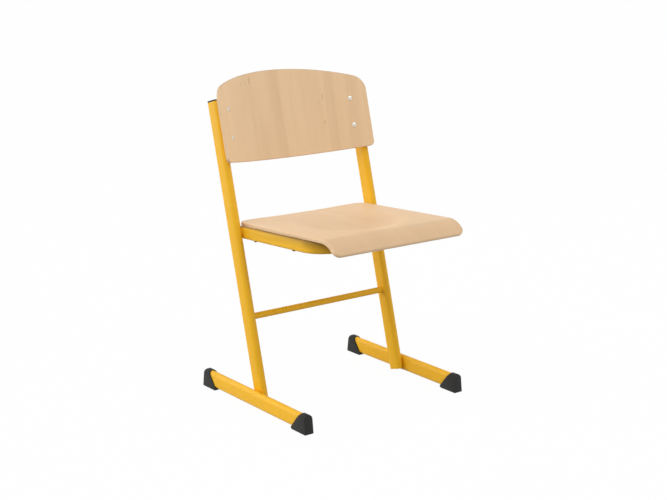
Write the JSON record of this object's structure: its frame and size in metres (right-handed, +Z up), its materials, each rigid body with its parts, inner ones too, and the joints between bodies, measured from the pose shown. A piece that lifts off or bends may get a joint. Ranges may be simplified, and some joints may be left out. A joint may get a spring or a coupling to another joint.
{
  "type": "classroom chair",
  "caption": "Skid-base classroom chair: leaning flat-oval tube uprights, a dished plywood seat with a rolled front lip on a bent rail, and a curved riveted plywood backrest.",
  "frame": {"origin": "on the floor, under the centre of the chair's bounding box", "axes": "+X to the sitter's left, +Y to the rear, +Z up; the sitter faces -Y"},
  "size_m": [0.4954, 0.5184, 0.7854],
  "materials": {
    "powder_coat": "satin golden-yellow powder coat on steel",
    "beech_plywood": "clear satin lacquer on beech-faced moulded plywood, bare plies at the edges",
    "black_plastic": "matt charcoal moulded plastic",
    "rivet_aluminium": "bright, lightly worn",
    "zinc_steel": "bright zinc plating",
    "insert_brass": "turned, unpolished"
  },
  "bodies": {
    "root": {"left_upright": "powder_coat", "right_upright": "powder_coat", "left_skid": "powder_coat", "right_skid": "powder_coat", "crossbar": "powder_coat", "seat_rail": "powder_coat", "left_back_plate": "powder_coat", "right_back_plate": "powder_coat", "seat_lugs": "powder_coat", "seat_shell": "beech_plywood", "backrest_shell": "beech_plywood", "front_left_foot": "black_plastic", "front_right_foot": "black_plastic", "rear_left_foot": "black_plastic", "rear_right_foot": "black_plastic", "left_top_cap": "black_plastic", "right_top_cap": "black_plastic", "left_rail_plug": "black_plastic", "right_rail_plug": "black_plastic", "stacking_studs": "black_plastic", "backrest_rivets": "rivet_aluminium", "rivet_mandrels": "zinc_steel", "seat_screws": "zinc_steel", "seat_inserts": "insert_brass"}
  },
  "joints": []
}
